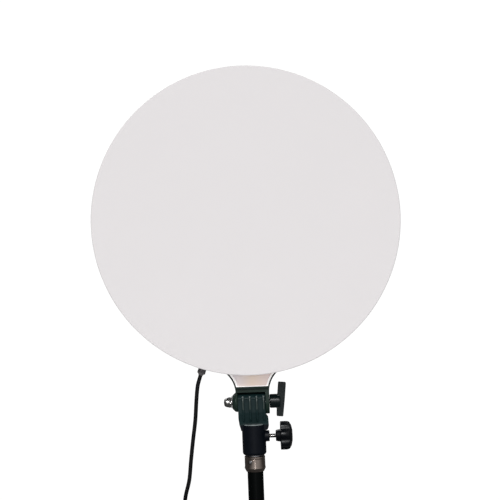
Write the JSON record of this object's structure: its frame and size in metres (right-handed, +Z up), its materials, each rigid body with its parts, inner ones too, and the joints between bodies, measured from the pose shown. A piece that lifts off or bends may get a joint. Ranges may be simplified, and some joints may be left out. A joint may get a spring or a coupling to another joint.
{
  "type": "led soft light",
  "caption": "Round flat light panel with an opal front on a tilting, panning friction head, with the top tube of its stand and a coiled low-voltage lead ending in a plug-top adapter.",
  "frame": {"origin": "centre of the flat lower end of the stand's top section, where it enters the next section", "axes": "+Z up along the stand tube, -Y the way the light faces, +X to the right seen from the front"},
  "size_m": [0.36, 0.0768, 0.7595],
  "materials": {
    "black_paint": "satin black powder coat",
    "nickel": "turned and nickel plated",
    "steel": "zinc plated steel",
    "chrome": "bright chrome plate",
    "brass": "machined brass",
    "head_plastic": "moulded glass-filled nylon, green-black",
    "knob_plastic": "moulded black nylon",
    "shell_plastic": "fine-textured black ABS",
    "pale_plate": "satin pale plate",
    "opal": "matt opal diffuser",
    "clear_acrylic": "clear cast acrylic",
    "white_sheet": "white film",
    "aluminium": "mill finish",
    "circuit_green": "solder mask",
    "lead_plastic": "soft black PVC",
    "fibre": "pressed fibre",
    "strap_nylon": "woven hook-and-loop tape"
  },
  "bodies": {
    "riser": {"riser_tube": "black_paint", "riser_end_bush": "lead_plastic", "stand_spigot": "steel", "spigot_collar": "nickel", "collar_set_screw": "steel"},
    "head": {"head_base": "head_plastic", "lock_insert": "brass", "left_friction_washer": "fibre", "right_friction_washer": "fibre", "dc_lead": "lead_plastic", "dc_lead_coil": "lead_plastic", "dc_lead_tail": "lead_plastic", "cable_strap": "strap_nylon", "adapter_front_case": "lead_plastic", "adapter_rear_case": "lead_plastic", "adapter_board": "circuit_green", "adapter_strain_relief": "lead_plastic", "adapter_pin_1": "chrome", "adapter_pin_2": "chrome"},
    "lock_screw": {"lock_screw": "chrome"},
    "lock_knob": {"lock_knob": "knob_plastic"},
    "tilt_lever": {"tilt_lever": "head_plastic", "tilt_lever_insert": "brass"},
    "panel": {"neck_housing": "shell_plastic", "neck_cover": "pale_plate", "tilt_bolt": "steel", "tilt_cap_nut": "chrome", "tilt_cap_washer": "chrome", "front_diffuser": "opal", "rear_shell": "shell_plastic", "light_guide": "clear_acrylic", "reflector_sheet": "white_sheet", "support_plate": "aluminium", "led_ring_frame": "aluminium", "led_strip": "white_sheet", "driver_board": "circuit_green", "brightness_pot": "steel", "colour_pot": "steel", "power_switch": "knob_plastic", "dc_jack": "lead_plastic", "dc_plug": "lead_plastic", "housing_screw_1": "steel", "housing_screw_2": "steel", "housing_screw_3": "steel", "housing_screw_4": "steel", "rim_screw_1": "steel", "rim_screw_2": "steel", "rim_screw_3": "steel", "rim_screw_4": "steel", "rim_screw_5": "steel", "rim_screw_6": "steel"},
    "brightness_dial": {"brightness_dial": "knob_plastic", "brightness_shaft": "steel"},
    "colour_dial": {"colour_dial": "knob_plastic", "colour_shaft": "steel"},
    "power_rocker": {"power_rocker": "knob_plastic"}
  },
  "joints": [
    {"name": "head_pan", "type": "hinge", "parent": "riser", "child": "head", "pos_m": [0, 0, 0.3], "axis": [0, 0, 1], "continuous": true},
    {"name": "panel_tilt", "type": "hinge", "parent": "head", "child": "panel", "pos_m": [0, 0, 0.3635], "axis": [1, 0, 0], "range_deg": [-90, 90], "deforming": ["dc_lead"]},
    {"name": "tilt_lever_turn", "type": "hinge", "parent": "panel", "child": "tilt_lever", "pos_m": [0.02, 0, 0.3635], "axis": [1, 0, 0], "range_deg": [-150, 150]},
    {"name": "lock_screw_travel", "type": "slide", "parent": "head", "child": "lock_screw", "axis": [1, 0, 0], "range_m": [0, 0.0024]},
    {"name": "lock_knob_turn", "type": "hinge", "parent": "lock_screw", "child": "lock_knob", "pos_m": [0.025, 0, 0.322], "axis": [1, 0, 0], "range_deg": [0, 1080]},
    {"name": "brightness_turn", "type": "hinge", "parent": "panel", "child": "brightness_dial", "pos_m": [-0.027, 0.016, 0.5], "axis": [0, 1, 0], "range_deg": [-135, 135]},
    {"name": "colour_turn", "type": "hinge", "parent": "panel", "child": "colour_dial", "pos_m": [0.027, 0.016, 0.5], "axis": [0, 1, 0], "range_deg": [-135, 135]},
    {"name": "power_rock", "type": "hinge", "parent": "panel", "child": "power_rocker", "pos_m": [0, 0.016, 0.462], "axis": [1, 0, 0], "range_deg": [-16, 0]}
  ],
  "couplings": [
    {"joint": "lock_knob_turn", "follows": "lock_screw_travel", "rad_per_m": 7853.9}
  ]
}
